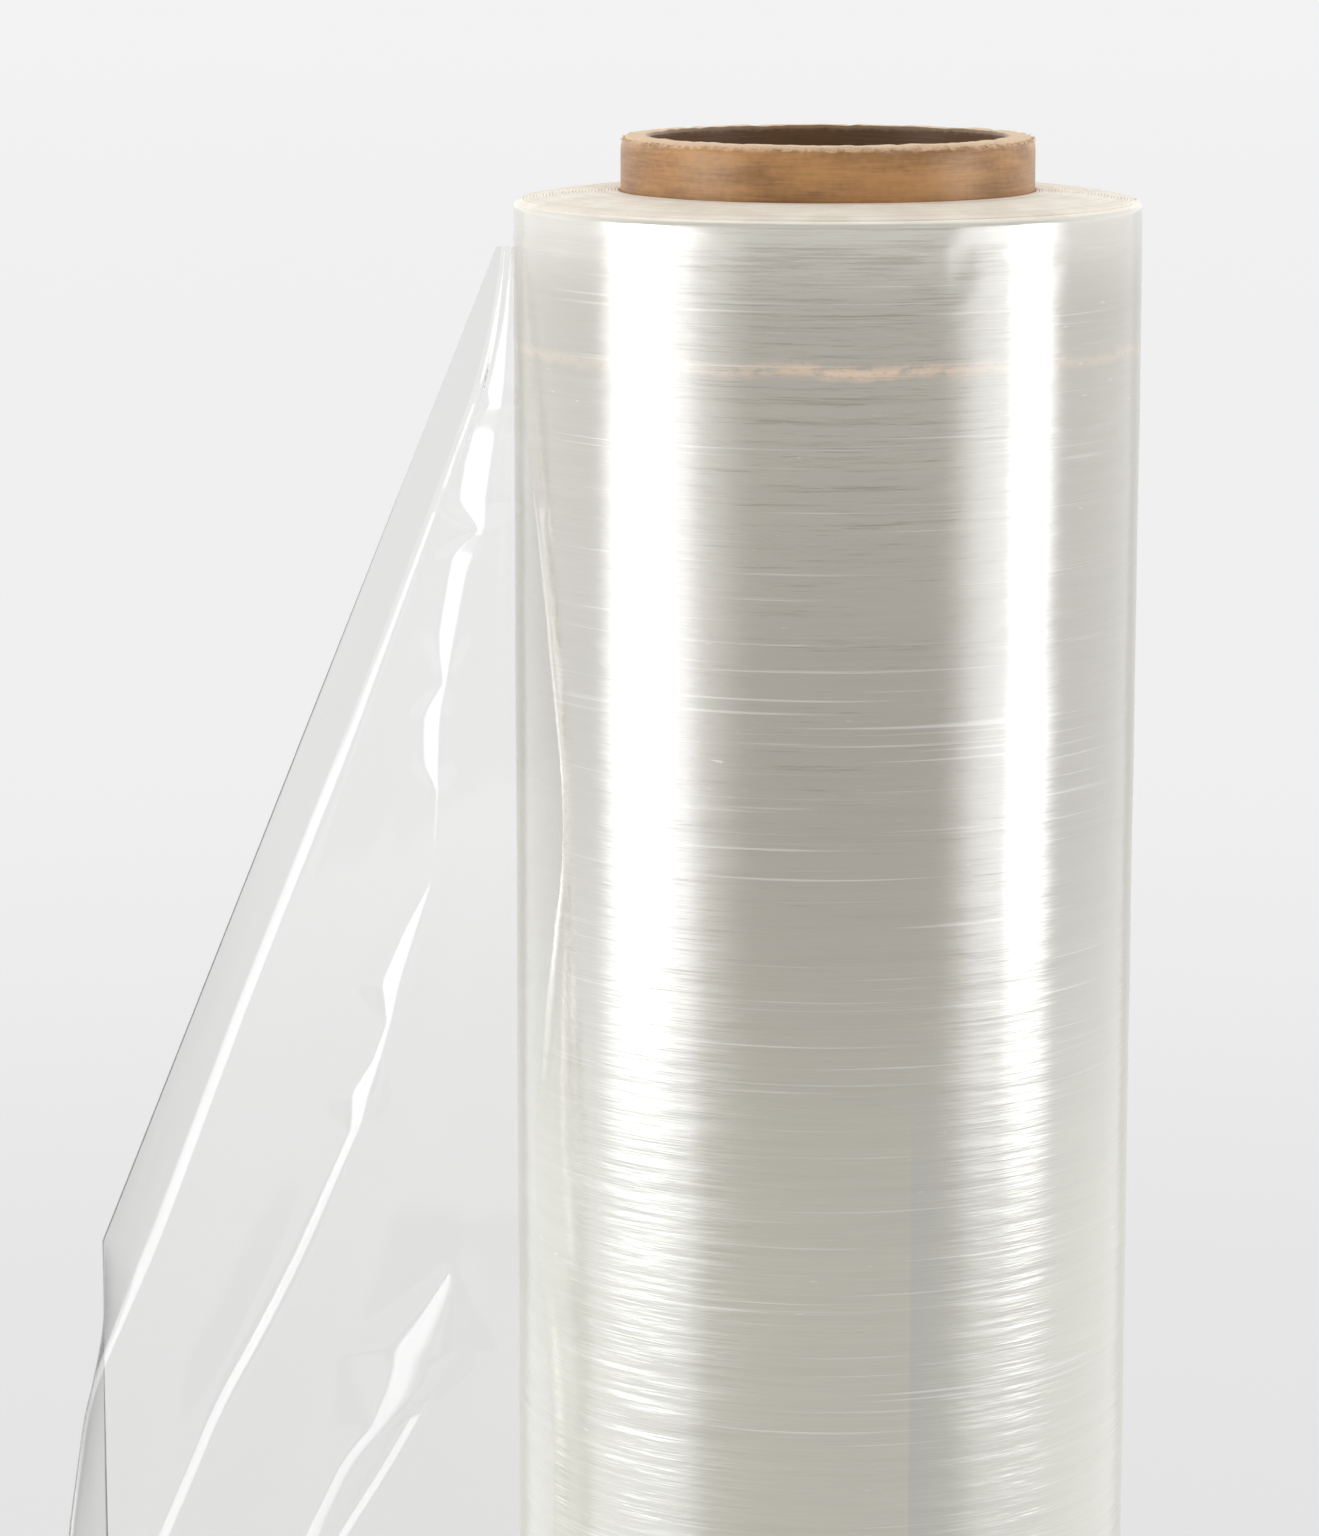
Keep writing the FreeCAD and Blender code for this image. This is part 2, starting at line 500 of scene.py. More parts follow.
@dataclass(frozen=True)
class FilmEnds:
    """The cream end of the roll, where the cut edges of all the turns scatter the light."""

    cream: Colour = (0.86, 0.80, 0.70, 1.0)
    shade: Colour = (0.70, 0.63, 0.53, 1.0)
    # tan is the colour of the painted contact shadow beside the tube
    tan: Colour = (0.66, 0.50, 0.34, 1.0)
    ring_wave: float = 1.1 * MM
    ring_relief: float = 0.15 * MM
    smear: float = 9 * MM
    tone_span: Span = (0.38, 0.62)
    contact_shade_reach: float = 2.5 * MM

    def made(self, core_radius: float) -> bpy.types.Material:
        """Builds the material.

        Args:
            core_radius: Outer radius of the tube, beside which the end is painted darker as a painted contact
                shadow.

        Returns:
            The material.
        """
        end = Surface("film_ends")
        ring_place = end.node("ShaderNodeCombineXYZ", sockets={0: end.radius, 1: end.z})
        rings = end.noise(ring_place, (self.ring_wave, 0.02, 1.0), 12.0, 3.0, 0.7)
        smears = end.grain(self.smear, self.smear, 13.0, 3.0)
        tone = end.fade(rings * 0.6 + smears * 0.4, *self.tone_span)
        colour = end.mixed(tone, self.shade, self.cream)
        # Painted shadow: the end is painted tan and darker beside the tube, where the tube shades it.
        core_contact_shade = end.fade(end.radius, core_radius + self.contact_shade_reach, core_radius)
        colour = end.mixed(core_contact_shade * 0.7, colour, self.tan)
        return end.coated({
            "Base Color": colour, "Roughness": 0.34 + rings * 0.2, "IOR": 1.5,
            "Normal": end.bump(rings, self.ring_relief, 0.6)})


@dataclass(frozen=True)
class LooseFilm:
    """One layer of clear film: seen through face on, bright at a glance and whiter along its creases.

    On the flap behind the outer crease and on its edge, painted shade makes it a little less clear and hardly
    glossy.
    """

    tint: Colour = (0.984, 0.984, 0.981, 1.0)
    gloss: Colour = (0.97, 0.97, 0.97, 1.0)
    shade: Colour = (0.04, 0.04, 0.04, 1.0)
    facing_share: float = 0.035
    crease_share: float = 0.015
    flap_shade_share: float = 0.024
    haze_share: float = 0.03
    glance_power: float = 5.0
    ripple_relief: float = 0.25 * MM
    roughness: float = 0.115

    def made(self) -> bpy.types.Material:
        """Builds the material, which reads the sheet's own crease and flap shade attributes and its flat UV
        map.
        """
        film = Surface("loose_film")
        flat = film.node("ShaderNodeUVMap", {"uv_map": "flat"})
        crease = film.node("ShaderNodeAttribute", {"attribute_name": "crease"}, output="Fac")
        flap_shade = film.node("ShaderNodeAttribute", {"attribute_name": "flap_shade"}, output="Fac")
        ripples = film.noise(flat, (5 * MM, 60 * MM, 1.0), 21.0, 3.0)
        normal = film.bump(ripples, self.ripple_relief, 0.6)
        glance = film.node("ShaderNodeLayerWeight", sockets={"Blend": 0.5, "Normal": normal}, output="Facing")
        share = self.facing_share + (1 - self.facing_share) * glance ** self.glance_power
        # Painted shade: the flap and its outer edge block more of what is behind them and reflect almost
        # nothing.
        share = share + crease * self.crease_share + flap_shade * self.flap_shade_share
        haze = film.noise(flat, (26 * MM, 110 * MM, 1.0), 22.0, 3.0)
        share = share + (haze - 0.5) * self.haze_share
        clear = film.node("ShaderNodeBsdfTransparent", sockets={"Color": self.tint})
        sheen = film.mixed(film.fade(flap_shade, 0.0, 0.45), self.gloss, self.shade)
        gloss = film.node("ShaderNodeBsdfPrincipled", sockets={
            "Base Color": sheen, "Metallic": 0.9, "Roughness": self.roughness, "Normal": normal})
        return film.shown(film.node("ShaderNodeMixShader", sockets={0: share, 1: clear, 2: gloss}))


@dataclass(frozen=True)
class StudioFloor:
    """A plain pale floor, painted a little darker near the roll as painted shade."""

    near: float = 0.718
    step: float = 0.09
    step_span: Span = (0.4, 2.2)
    far_step: float = 0.02
    far_span: Span = (1.5, 15.0)

    def made(self) -> bpy.types.Material:
        """Builds the material."""
        floor = Surface("studio_floor")
        # Painted shade: the floor's colour is darker near the roll and brightens outwards.
        tone = self.near + self.step * floor.fade(floor.radius, *self.step_span)
        tone = tone + self.far_step * floor.fade(floor.radius, *self.far_span)
        grey = floor.node("ShaderNodeCombineColor", sockets={0: tone, 1: tone, 2: tone})
        return floor.shown(floor.node("ShaderNodeBsdfDiffuse", sockets={"Color": grey}))


def eased(share: np.ndarray) -> np.ndarray:
    """A smooth rise from 0 to 1 as the share goes from 0 to 1, level outside that."""
    inside = np.clip(share, 0.0, 1.0)
    return (1 - np.cos(np.pi * inside)) / 2


def along(line: Line, place: np.ndarray | float) -> np.ndarray:
    """Values of a line of straight runs, held level past its ends."""
    places, values = zip(*line)
    return np.interp(place, places, values)


def line_in_mm(*points: tuple[float, float]) -> Line:
    """A line whose values are given in millimetres."""
    return tuple((place, value * MM) for place, value in points)


def flowing(line: Line, place: float, blend: float = 0.03) -> float:
    """Value of a line whose corners are rounded over a short blend either side."""
    return float(np.mean(along(line, place + np.linspace(-blend, blend, 13))))


def wander(across: np.ndarray, down: np.ndarray, cells: tuple[int, int], seed: int) -> np.ndarray:
    """Smooth random values between -1 and 1, which join up across.

    Args:
        across: Place across, where 0 and 1 are the same.
        down: Place down, from 0 to 1.
        cells: How many swings there are across and down.
        seed: Which pattern to take.

    Returns:
        One value for each place.
    """
    wide, tall = cells
    knots = np.random.default_rng(seed).uniform(-1.0, 1.0, (wide, tall + 1))
    u, v = across * wide, np.clip(down, 0.0, 1.0) * tall
    left, upper = np.floor(u).astype(int), np.minimum(np.floor(v).astype(int), tall - 1)
    to_right, to_lower = eased(u - left), eased(v - upper)
    top = knots[left % wide, upper] * (1 - to_right) + knots[(left + 1) % wide, upper] * to_right
    low = knots[left % wide, upper + 1] * (1 - to_right) + knots[(left + 1) % wide, upper + 1] * to_right
    return top * (1 - to_lower) + low * to_lower


def grid_faces(rows: int, columns: int, join_rows: bool, join_columns: bool) -> np.ndarray:
    """Quads over a grid of points numbered row by row, joined round where asked."""
    row = np.arange(rows if join_rows else rows - 1)[:, None]
    column = np.arange(columns if join_columns else columns - 1)[None, :]
    next_row, next_column = (row + 1) % rows, (column + 1) % columns
    corners = [row * columns + column, next_row * columns + column,
               next_row * columns + next_column, row * columns + next_column]
    return np.stack(corners, axis=-1).reshape(-1, 4)


def skin(name: str, points: np.ndarray, faces: np.ndarray) -> bpy.types.Mesh:
    """A smooth closed mesh whose faces point outwards.

    Args:
        name: The mesh's name.
        points: Places of its corners, in any grid shape.
        faces: Corner numbers of its faces.

    Returns:
        The mesh.
    """
    mesh = bpy.data.meshes.new(name)
    mesh.from_pydata(points.reshape(-1, 3).tolist(), [], faces.tolist())
    work = bmesh.new()
    work.from_mesh(mesh)
    bmesh.ops.recalc_face_normals(work, faces=work.faces)
    work.to_mesh(mesh)
    work.free()
    mesh.shade_smooth()
    return mesh


def side_by_side(radius: np.ndarray | float, height: np.ndarray | float) -> np.ndarray:
    """Points of an outline, from their radii and their heights."""
    return np.stack(np.broadcast_arrays(radius, height), axis=-1)


def turned(outline: np.ndarray, segments: int) -> tuple[np.ndarray, np.ndarray]:
    """Points of a closed (radius, height) outline at each angle round the axis.

    Args:
        outline: Radius and height of each point of the outline.
        segments: How many angles there are.

    Returns:
        The points, one row for each angle, and the share of a turn of each row.
    """
    turn = np.arange(segments) / segments
    angle = turn[:, None] * 2 * np.pi
    radius, height = outline.T
    points = [radius * np.sin(angle), -radius * np.cos(angle), height + 0 * angle]
    return np.stack(points, axis=-1), turn[:, None] + 0 * radius


def dressed(piece: bpy.types.Object, slot: str, *nodes: str) -> bpy.types.Object:
    """Makes a piece ride on the roll's body, and hides the nodes that it stands for."""
    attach(piece, BODY)
    if nodes:
        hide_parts(*nodes)
    return piece


@dataclass
class CardboardCore:
    """The paper tube: a wound board wall with worn, fibrous ends and a ply seam in its bore."""

    bore_radius: float
    outer_radius: float
    length: float
    bevel: float = 1.2 * MM
    segments: int = 288
    worn_depth: float = 0.35 * MM
    end_reach: float = 3 * MM
    edge_reach: float = 3.2 * MM
    chip_turn: float = 0.04
    chip_half: float = 0.035
    chip_depth: float = 1.0 * MM
    seam_pitch: float = 150 * MM
    seam_width: float = 1.6 * MM
    seam_rise: float = 0.18 * MM
    seam_inset: float = 4 * MM
    fibre_count: int = 320
    fibre_size: float = 1.3 * MM
    fine_depth: float = 12 * MM
    middle_depth: float = 60 * MM
    slot: str = "core_board"

    def outline(self) -> np.ndarray:
        """Radius and height round the wall's section, closely spaced by its ends."""
        fine = np.linspace(0.0, 1.0, 9)
        bevel = self.bevel * fine
        wall = np.append(np.linspace(0.0, self.fine_depth, 16), self.middle_depth)
        outer, inner, tall = self.outer_radius, self.bore_radius, self.length
        face = inner + (outer - self.bevel - inner) * fine
        bottom = side_by_side(face, 0.0)
        low_bevel = side_by_side(outer - self.bevel + bevel, bevel)[1:]
        low_wall = side_by_side(outer, self.bevel + wall)[1:]
        high_wall = side_by_side(outer, tall - self.bevel - wall)[:0:-1]
        high_bevel = side_by_side(outer - bevel, tall - self.bevel + bevel)
        top = side_by_side(face, tall)[-2::-1]
        bore_high = side_by_side(inner, tall - wall)[1:]
        bore_low = side_by_side(inner, wall)[:0:-1]
        return np.concatenate([bottom, low_bevel, low_wall, high_wall, high_bevel, top, bore_high, bore_low])

    def wear(self, points: np.ndarray, turn: np.ndarray) -> np.ndarray:
        """Rounds, ripples and chips the ends of the wall.

        Args:
            points: Places of the wall's points.
            turn: Share of a turn of each point.

        Returns:
            The worn places.
        """
        radius = np.hypot(points[..., 0], points[..., 1])
        half = self.length / 2
        to_end = half - np.abs(points[..., 2] - half)
        at_end = 1 - eased(to_end / self.end_reach)
        outer_edge = 1 - eased((self.outer_radius - radius + to_end) / self.edge_reach)
        inwards = to_end / self.length
        ripple = wander(turn, inwards, (90, 1), 41) + 0.6 * wander(turn, inwards, (28, 1), 42)
        grain = wander(turn, radius / self.outer_radius, (160, 40), 43)
        from_chip = np.abs((turn - self.chip_turn + 0.5) % 1.0 - 0.5) / self.chip_half
        chip = (1 - eased(from_chip)) * np.clip(0.4 + wander(turn, 0 * turn, (120, 1), 44), 0.0, 1.0)
        lowered = at_end * self.worn_depth * (0.5 + 0.35 * ripple + 0.3 * grain)
        lowered = lowered + outer_edge * self.chip_depth * chip
        sign = np.sign(half - points[..., 2])
        inward = outer_edge * self.worn_depth * (0.6 + 0.5 * ripple) / radius
        worn = points * np.stack([1 - inward, 1 - inward, 1 + 0 * inward], axis=-1)
        worn[..., 2] += sign * np.clip(lowered, 0.0, None)
        return worn

    def tube(self, finish: bpy.types.Material) -> bpy.types.Object:
        """Builds the wall of the tube."""
        points, turn = turned(self.outline(), self.segments)
        faces = grid_faces(points.shape[0], points.shape[1], True, True)
        mesh = skin("core_tube", self.wear(points, turn), faces)
        mesh.materials.append(finish)
        return dressed(stood("core_tube", mesh), self.slot, CORE_NODE)

    def ply_seam(self, finish: bpy.types.Material) -> bpy.types.Object:
        """Builds the raised edge of the inner ply, which climbs the bore as a helix."""
        recipe = Recipe("ply_seam", {
            "Bore radius": self.bore_radius, "Climb": self.length - 2 * self.seam_inset,
            "Turns": self.length / self.seam_pitch, "Foot": self.seam_inset, "Width": self.seam_width,
            "Rise": self.seam_rise})
        helix = recipe.spiral("Bore radius", "Bore radius", recipe.size("Climb"))
        strip = recipe.node("GeometryNodeCurvePrimitiveQuadrilateral", sockets={
            "Width": recipe.size("Rise"), "Height": recipe.size("Width")})
        placed = recipe.lifted(recipe.swept(helix, strip), recipe.size("Foot"))
        return dressed(recipe.made("core_ply_seam", placed, finish), self.slot)

    def frayed_fibres(self, finish: bpy.types.Material) -> bpy.types.Object:
        """Builds the short paper fibres that stand along the cut edge at the top."""
        recipe = Recipe("frayed_fibres", {
            "Radius": self.outer_radius - self.bevel / 2, "Height": self.length - self.bevel * 0.75,
            "Count": self.fibre_count, "Fibre": self.fibre_size, "Seed": 5.0})
        edge = recipe.node("GeometryNodeCurvePrimitiveCircle", sockets={
            "Resolution": 96, "Radius": recipe.size("Radius")})
        points = recipe.node("GeometryNodeCurveToPoints", sockets={
            "Curve": edge, "Count": recipe.size("Count")})
        points = recipe.lifted(points, recipe.size("Height"))
        bow = recipe.node("GeometryNodeCurvePrimitiveBezierSegment", {"mode": "POSITION"}, {
            "Resolution": 3, "Start": (-0.5, 0.0, 0.0), "Start Handle": (-0.2, 0.0, 0.25),
            "End Handle": (0.2, 0.05, 0.2), "End": (0.5, 0.15, -0.05)})
        thread = recipe.node("GeometryNodeCurvePrimitiveCircle", sockets={"Resolution": 3, "Radius": 0.045})
        fibre = recipe.swept(bow, thread)
        tilt = recipe.node("FunctionNodeRandomValue", {"data_type": "FLOAT_VECTOR"}, {
            0: (-0.7, -0.7, 0.0), 1: (0.7, 0.7, 6.28), "Seed": recipe.size("Seed")})
        grow = recipe.node("FunctionNodeRandomValue", {"data_type": "FLOAT"}, {
            2: 0.4, 3: 1.3, "Seed": recipe.size("Seed") + 1.0}, 1)
        spread = recipe.node("GeometryNodeInstanceOnPoints", sockets={
            "Points": points, "Instance": fibre, "Rotation": tilt, "Scale": grow * recipe.size("Fibre")})
        return dressed(recipe.made("core_rim_fibres", spread, finish), self.slot)

    def build(self) -> list[bpy.types.Object]:
        """Builds every piece of the tube."""
        finish = KraftBoard().made(self.bore_radius, self.length)
        return [self.tube(finish), self.ply_seam(finish), self.frayed_fibres(finish)]


@dataclass
class WoundRoll:
    """All the wound turns of film: a wrinkled side and two ends ringed by the edges of the turns."""

    inner_radius: float
    outer_radius: float
    bottom: float
    top: float
    crown: float = 1.9 * MM
    rim_round: float = 1.5 * MM
    segments: int = 180
    rows: int = 500
    ring_count: float = 30.0
    ring_half: float = 0.42 * MM
    neck_depth: float = 0.25 * MM
    busy_drops: Span = (75 * MM, 120 * MM)
    slant_drops: Span = (180 * MM, 270 * MM)
    slant: float = 0.12
    rim_drops: Span = (24 * MM, 2 * MM)
    rumpled_across: Band = (26 * MM, 24 * MM)
    rumpled_drop: Band = (12 * MM, 14 * MM)
    slot: str = "clear_film"
    # In mm: how far a long wrinkle wanders, half its crest, its hollow's drop below it and half width, and
    # the neck's drop and half width
    wrinkle_wander: float = 0.9
    crest_half: float = 0.9
    hollow_drop: float = 1.9
    hollow_half: float = 1.0
    neck_drop: float = 7.0
    neck_half: float = 3.0
    # Each long wrinkle's drop below the top in mm, the bearing of its middle and half its length in degrees,
    # and its rise in mm
    long_wrinkles: tuple[tuple[float, float, float, float], ...] = (
        (39, 5, 30, 0.20), (52, -2, 26, 0.16), (64, 8, 22, 0.12), (77, -4, 24, 0.14),
        (89, 8, 34, 0.26), (103, 10, 20, 0.14), (114, -6, 26, 0.16), (121, 12, 18, 0.12),
        (127, 2, 26, 0.16), (135, -8, 24, 0.14), (143, 10, 26, 0.16), (152, 0, 30, 0.18),
        (166, -6, 22, 0.12), (179, 8, 26, 0.14), (45, 57, 9, 0.30))

    @property
    def rim_radius(self) -> float:
        """Radius at which an end turns down into the side."""
        return self.outer_radius - self.rim_round

    def outline(self) -> np.ndarray:
        """Radius and height round the wound film's section."""
        face = np.linspace(0.0, 1.0, 15)
        radius = self.inner_radius + face * (self.rim_radius - self.inner_radius)
        fall = self.crown * face**2
        bend = np.radians(np.linspace(15.0, 90.0, 6))
        rim_radius = self.rim_radius + self.rim_round * np.sin(bend)
        rim_fall = self.crown + self.rim_round * (1 - np.cos(bend))
        radius, fall = np.concatenate([radius, rim_radius]), np.concatenate([fall, rim_fall])
        heights = np.linspace(self.bottom + fall[-1], self.top - fall[-1], self.rows)[1:-1]
        low = side_by_side(radius, self.bottom + fall)
        high = side_by_side(radius, self.top - fall)[::-1]
        return np.concatenate([low, side_by_side(self.outer_radius, heights), high])

    def pressed(self, points: np.ndarray, turn: np.ndarray) -> np.ndarray:
        """Adds the long wrinkles, and the neck that a tight turn has drawn in under the top rim.

        A wrinkle is a narrow crest over a shallower hollow, and it wanders up and down. The neck is deepest
        at the left. Drops are in mm here.

        Args:
            points: Places of the film's points.
            turn: Share of a turn of each point.

        Returns:
            The moved places.
        """
        radius = np.hypot(points[..., 0], points[..., 1])
        drop = (self.top - points[..., 2]) / MM
        degrees = (turn * 360 + 180) % 360 - 180
        on_side = eased((radius - self.rim_radius) / self.rim_round)
        rise = 0 * drop
        for depth, middle, half, tall in self.long_wrinkles:
            wave = depth + self.wrinkle_wander * wander(turn, 0 * turn, (24, 1), int(depth))
            past = drop - (wave + 0.0006 * (degrees - middle) ** 2)
            crest = np.exp(-(past / self.crest_half) ** 2)
            hollow = np.exp(-((past - self.hollow_drop) / self.hollow_half) ** 2)
            rise += 0.6 * tall * MM * (crest - 0.6 * hollow) * (1 - eased(np.abs(degrees - middle) / half))
        neck = np.exp(-((drop - self.neck_drop) / self.neck_half) ** 2)
        neck = neck * (0.35 + 0.65 * eased((-degrees - 20) / 50))
        change = 1 + on_side * (rise - self.neck_depth * neck) / radius
        return points * np.stack([change, change, 1 + 0 * change], axis=-1)

    def side_relief(self, recipe: Recipe) -> Wire:
        """How far the film's side stands out at each place, from soft waves down to fine wrinkles."""
        x, y, z = recipe.split(recipe.place)
        seed = recipe.size("Seed")
        slanted = recipe.node("ShaderNodeCombineXYZ", sockets={0: x, 1: y, 2: z + x * self.slant})
        waves = recipe.grain(60 * MM, 50 * MM, seed) - 0.5
        wrinkles = recipe.grain(38 * MM, 3.6 * MM, seed + 1.0, 3.0) - 0.5
        slants = recipe.noise(slanted, (26 * MM, 26 * MM, 5.5 * MM), seed + 2.0, 3.0) - 0.5
        crumples = recipe.grain(8 * MM, 7 * MM, seed + 3.0, 3.0) - 0.5
        busy = 0.4 + 0.6 * recipe.under(z, self.top, self.busy_drops)
        low = recipe.under(z, self.top, self.slant_drops)
        far, near = self.rim_drops
        rim = recipe.under(z, self.top, self.rim_drops)
        rim = rim + recipe.fade(z, self.bottom + far, self.bottom + near)
        drop, reach = self.rumpled_drop
        rumpled = recipe.band(x, *self.rumpled_across) * recipe.band(z, self.top - drop, reach)
        rim = rim + rumpled * recipe.fade(y, 0.0, -20 * MM) * 1.5
        relief = waves * recipe.size("Waves") + wrinkles * busy * recipe.size("Wrinkles")
        return relief + slants * low * recipe.size("Slants") + crumples * rim * recipe.size("Crumples")

    def shell(self) -> bpy.types.Object:
        """Builds the closed body of the wound film."""
        points, turn = turned(self.outline(), self.segments)
        faces = grid_faces(points.shape[0], points.shape[1], True, True)
        base = skin("wound_film", self.pressed(points, turn), faces)
        recipe = Recipe("wound_film", {
            "Waves": 0.5 * MM, "Wrinkles": 0.22 * MM, "Slants": 0.42 * MM, "Crumples": 0.6 * MM, "Seed": 3.0,
            "Rim radius": self.rim_radius})
        flat = recipe.across_axis(recipe.place)
        out = recipe.vectors("NORMALIZE", flat)
        beyond = recipe.length(flat) - recipe.size("Rim radius")
        on_side = recipe.fade(beyond, -0.3 * self.rim_round, 0.8 * self.rim_round)
        moved = recipe.node("GeometryNodeSetPosition", sockets={
            "Geometry": recipe.base, "Offset": recipe.scaled(out, self.side_relief(recipe) * on_side)})
        piece = recipe.made("wound_film", moved, WoundSide().made(self.top), base)
        piece.data.materials.append(FilmEnds().made(self.inner_radius))
        for face in piece.data.polygons:
            centre = face.center
            if math.hypot(centre.x, centre.y) < self.rim_radius + 0.7 * self.rim_round:
                face.material_index = 1
        return dressed(piece, self.slot, FILM_NODE)

    def turn_edges(self, end: End) -> bpy.types.Object:
        """Builds the spiral of turn edges on one end.

        Args:
            end: Which end of the roll.

        Returns:
            The piece.
        """
        name = f"turn_edges_{end.name.lower()}"
        recipe = Recipe(name, {
            "Inner radius": self.inner_radius + self.ring_half, "Outer radius": self.rim_radius,
            "Turns": self.ring_count, "Level": self.top if end is End.TOP else self.bottom,
            "Crown": self.crown * end.value, "Ring half": self.ring_half, "Stagger": 0.5 * MM, "Seed": 9.0})
        spiral = recipe.spiral("Inner radius", "Outer radius", 0.0)
        bead = recipe.node("GeometryNodeCurvePrimitiveCircle", sockets={
            "Resolution": 6, "Radius": recipe.size("Ring half")})
        rings = recipe.swept(spiral, bead)
        radius = recipe.length(recipe.across_axis(recipe.place))
        inner, outer = recipe.size("Inner radius"), recipe.size("Outer radius")
        share = (radius - inner) / (outer - inner)
        seat = recipe.node("ShaderNodeCombineXYZ", sockets={0: radius})
        stagger = recipe.noise(seat, (1.2 * MM, 1.0, 1.0), recipe.size("Seed")) - 0.5
        ripple = recipe.grain(14 * MM, 1.0, recipe.size("Seed") + 1.0) - 0.5
        uneven = (stagger + ripple * 0.5) * recipe.size("Stagger")
        height = recipe.size("Level") - recipe.size("Crown") * share * share + uneven
        placed = recipe.lifted(rings, height)
        return dressed(recipe.made(name, placed, FilmEnds().made(self.inner_radius)), self.slot)

    def build(self) -> list[bpy.types.Object]:
        """Builds every piece of the wound film."""
        return [self.shell(), *(self.turn_edges(end) for end in End)]


@dataclass(frozen=True)
class Fold:
    """A crisp fold down the tail, with a narrow facet on its outer side.

    Its place is a share of the way from the roll to the outer crease, and its facet's width is in metres.
    Both are lines over the share of the film's width below the top. The slope is the facet's fall back over
    its width, and the drift is the share of that fall that lies in front of the film's own line. The
    approach is the length over which the film rises to the facet, over the facet's width.
    """

    place: Line
    width: Line
    slope: float = 1.03
    drift: float = 0.5
    approach: float = 1.2


@dataclass(frozen=True)
class Facet:
    """A fold's facet at one level: its start and end as shares of the way to the crease, and its width."""

    fold: Fold
    start: float
    end: float
    width: float

    def fall(self, distance: np.ndarray, least_before: float, least_after: float) -> np.ndarray:
        """Fall back of the film across the facet, over the facet's slope.

        The film rises to the facet and settles again as gently past it. The crease's facet has all its fall
        in front, so nothing settles past that.

        Args:
            distance: Distance past the facet's start, away from the roll.
            least_before: Least length over which the film rises to the facet.
            least_after: Least length over which it settles past the facet.

        Returns:
            How far the film lies back of its own line at each distance, for a slope of 1.
        """
        drift, width = self.fold.drift, self.width
        approach = self.fold.approach * width
        before, after = max(approach, least_before), max(approach, least_after)
        rise = -drift * width * eased((distance + before) / before)
        settle = (1 - drift) * width * eased((distance - width) / after)
        return rise + np.clip(distance, 0.0, width) - settle


